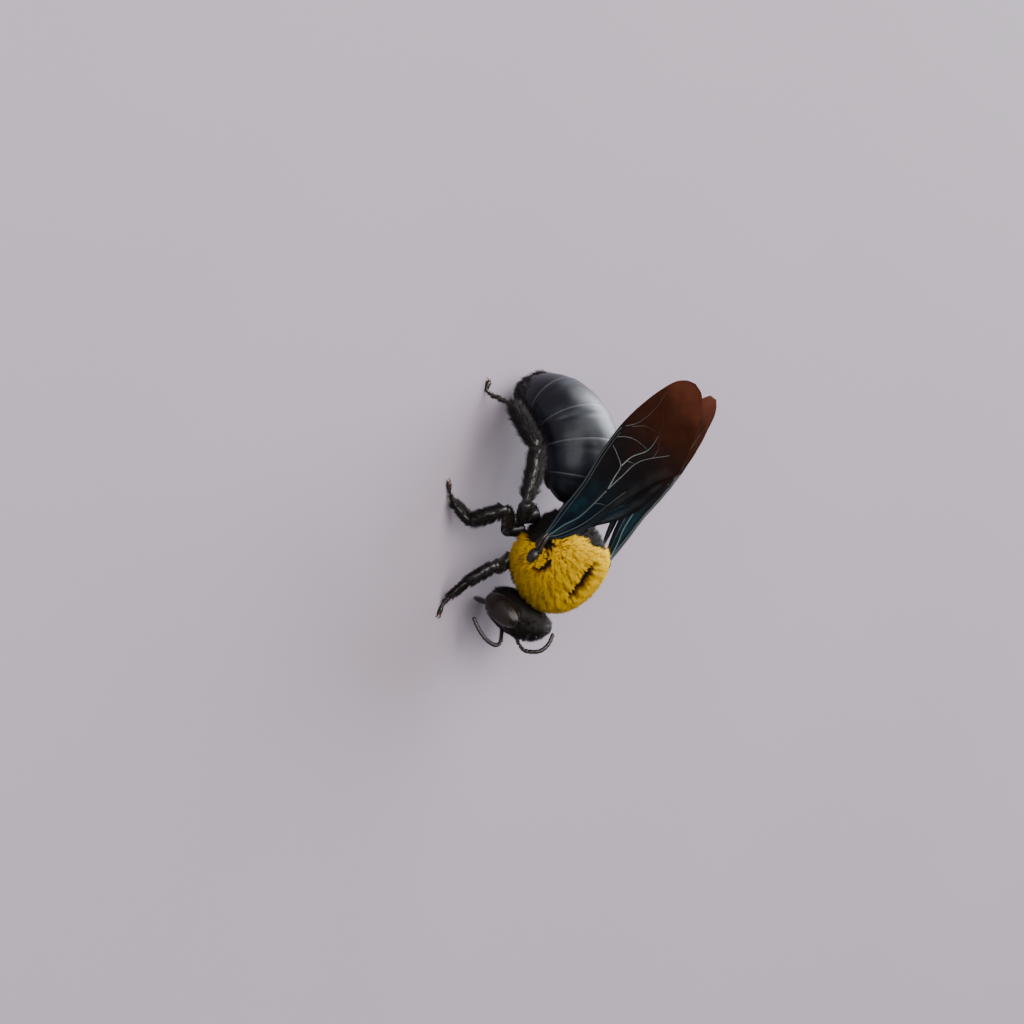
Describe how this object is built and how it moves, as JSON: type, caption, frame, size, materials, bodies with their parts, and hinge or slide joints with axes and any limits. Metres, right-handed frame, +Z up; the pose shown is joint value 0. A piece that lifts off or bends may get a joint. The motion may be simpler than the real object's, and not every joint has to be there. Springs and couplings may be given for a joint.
{
  "type": "museum model of a female carpenter bee",
  "caption": "Still, life-size museum model of a carpenter bee: yellow-haired thorax, glossy black head, legs and curled abdomen, smoky wings raised over its back.",
  "frame": {"origin": "middle of the underside of the model's overall box, on the floor", "axes": "+Z up, -Y the way the bee faces, +X to the bee's left"},
  "size_m": [0.0222, 0.0256, 0.0198],
  "materials": {
    "black cuticle": "glossy black shell with short dark hair",
    "abdomen plate": "polished black plates with a faint blue sheen",
    "yellow coat": "dense upright yellow hair",
    "compound eye": "smooth dark eye with fine facets",
    "smoky wing": "dark smoky brown film with raised veins"
  },
  "bodies": {
    "root": {"thorax": "yellow coat", "head": "black cuticle", "eye_right": "compound eye", "eye_left": "compound eye", "mandible_right": "black cuticle", "mandible_left": "black cuticle", "scape_right": "black cuticle", "scape_left": "black cuticle", "flagellum_right": "black cuticle", "flagellum_left": "black cuticle", "tegula_right": "black cuticle", "tegula_left": "black cuticle", "abdomen_1": "abdomen plate", "abdomen_2": "abdomen plate", "abdomen_3": "abdomen plate", "abdomen_4": "abdomen plate", "abdomen_5": "abdomen plate", "abdomen_6": "abdomen plate", "forewing_right": "smoky wing", "forewing_left": "smoky wing", "hindwing_right": "smoky wing", "hindwing_left": "smoky wing", "coxa_front_right": "black cuticle", "coxa_front_left": "black cuticle", "femur_front_right": "black cuticle", "femur_front_left": "black cuticle", "tibia_front_right": "black cuticle", "tibia_front_left": "black cuticle", "basitarsus_front_right": "black cuticle", "basitarsus_front_left": "black cuticle", "foot_front_right": "black cuticle", "foot_front_left": "black cuticle", "coxa_mid_right": "black cuticle", "coxa_mid_left": "black cuticle", "femur_mid_right": "black cuticle", "femur_mid_left": "black cuticle", "tibia_mid_right": "black cuticle", "tibia_mid_left": "black cuticle", "basitarsus_mid_right": "black cuticle", "basitarsus_mid_left": "black cuticle", "foot_mid_right": "black cuticle", "foot_mid_left": "black cuticle", "coxa_hind_right": "black cuticle", "coxa_hind_left": "black cuticle", "femur_hind_right": "black cuticle", "femur_hind_left": "black cuticle", "tibia_hind_right": "black cuticle", "tibia_hind_left": "black cuticle", "basitarsus_hind_right": "black cuticle", "basitarsus_hind_left": "black cuticle", "foot_hind_right": "black cuticle", "foot_hind_left": "black cuticle"}
  },
  "joints": []
}
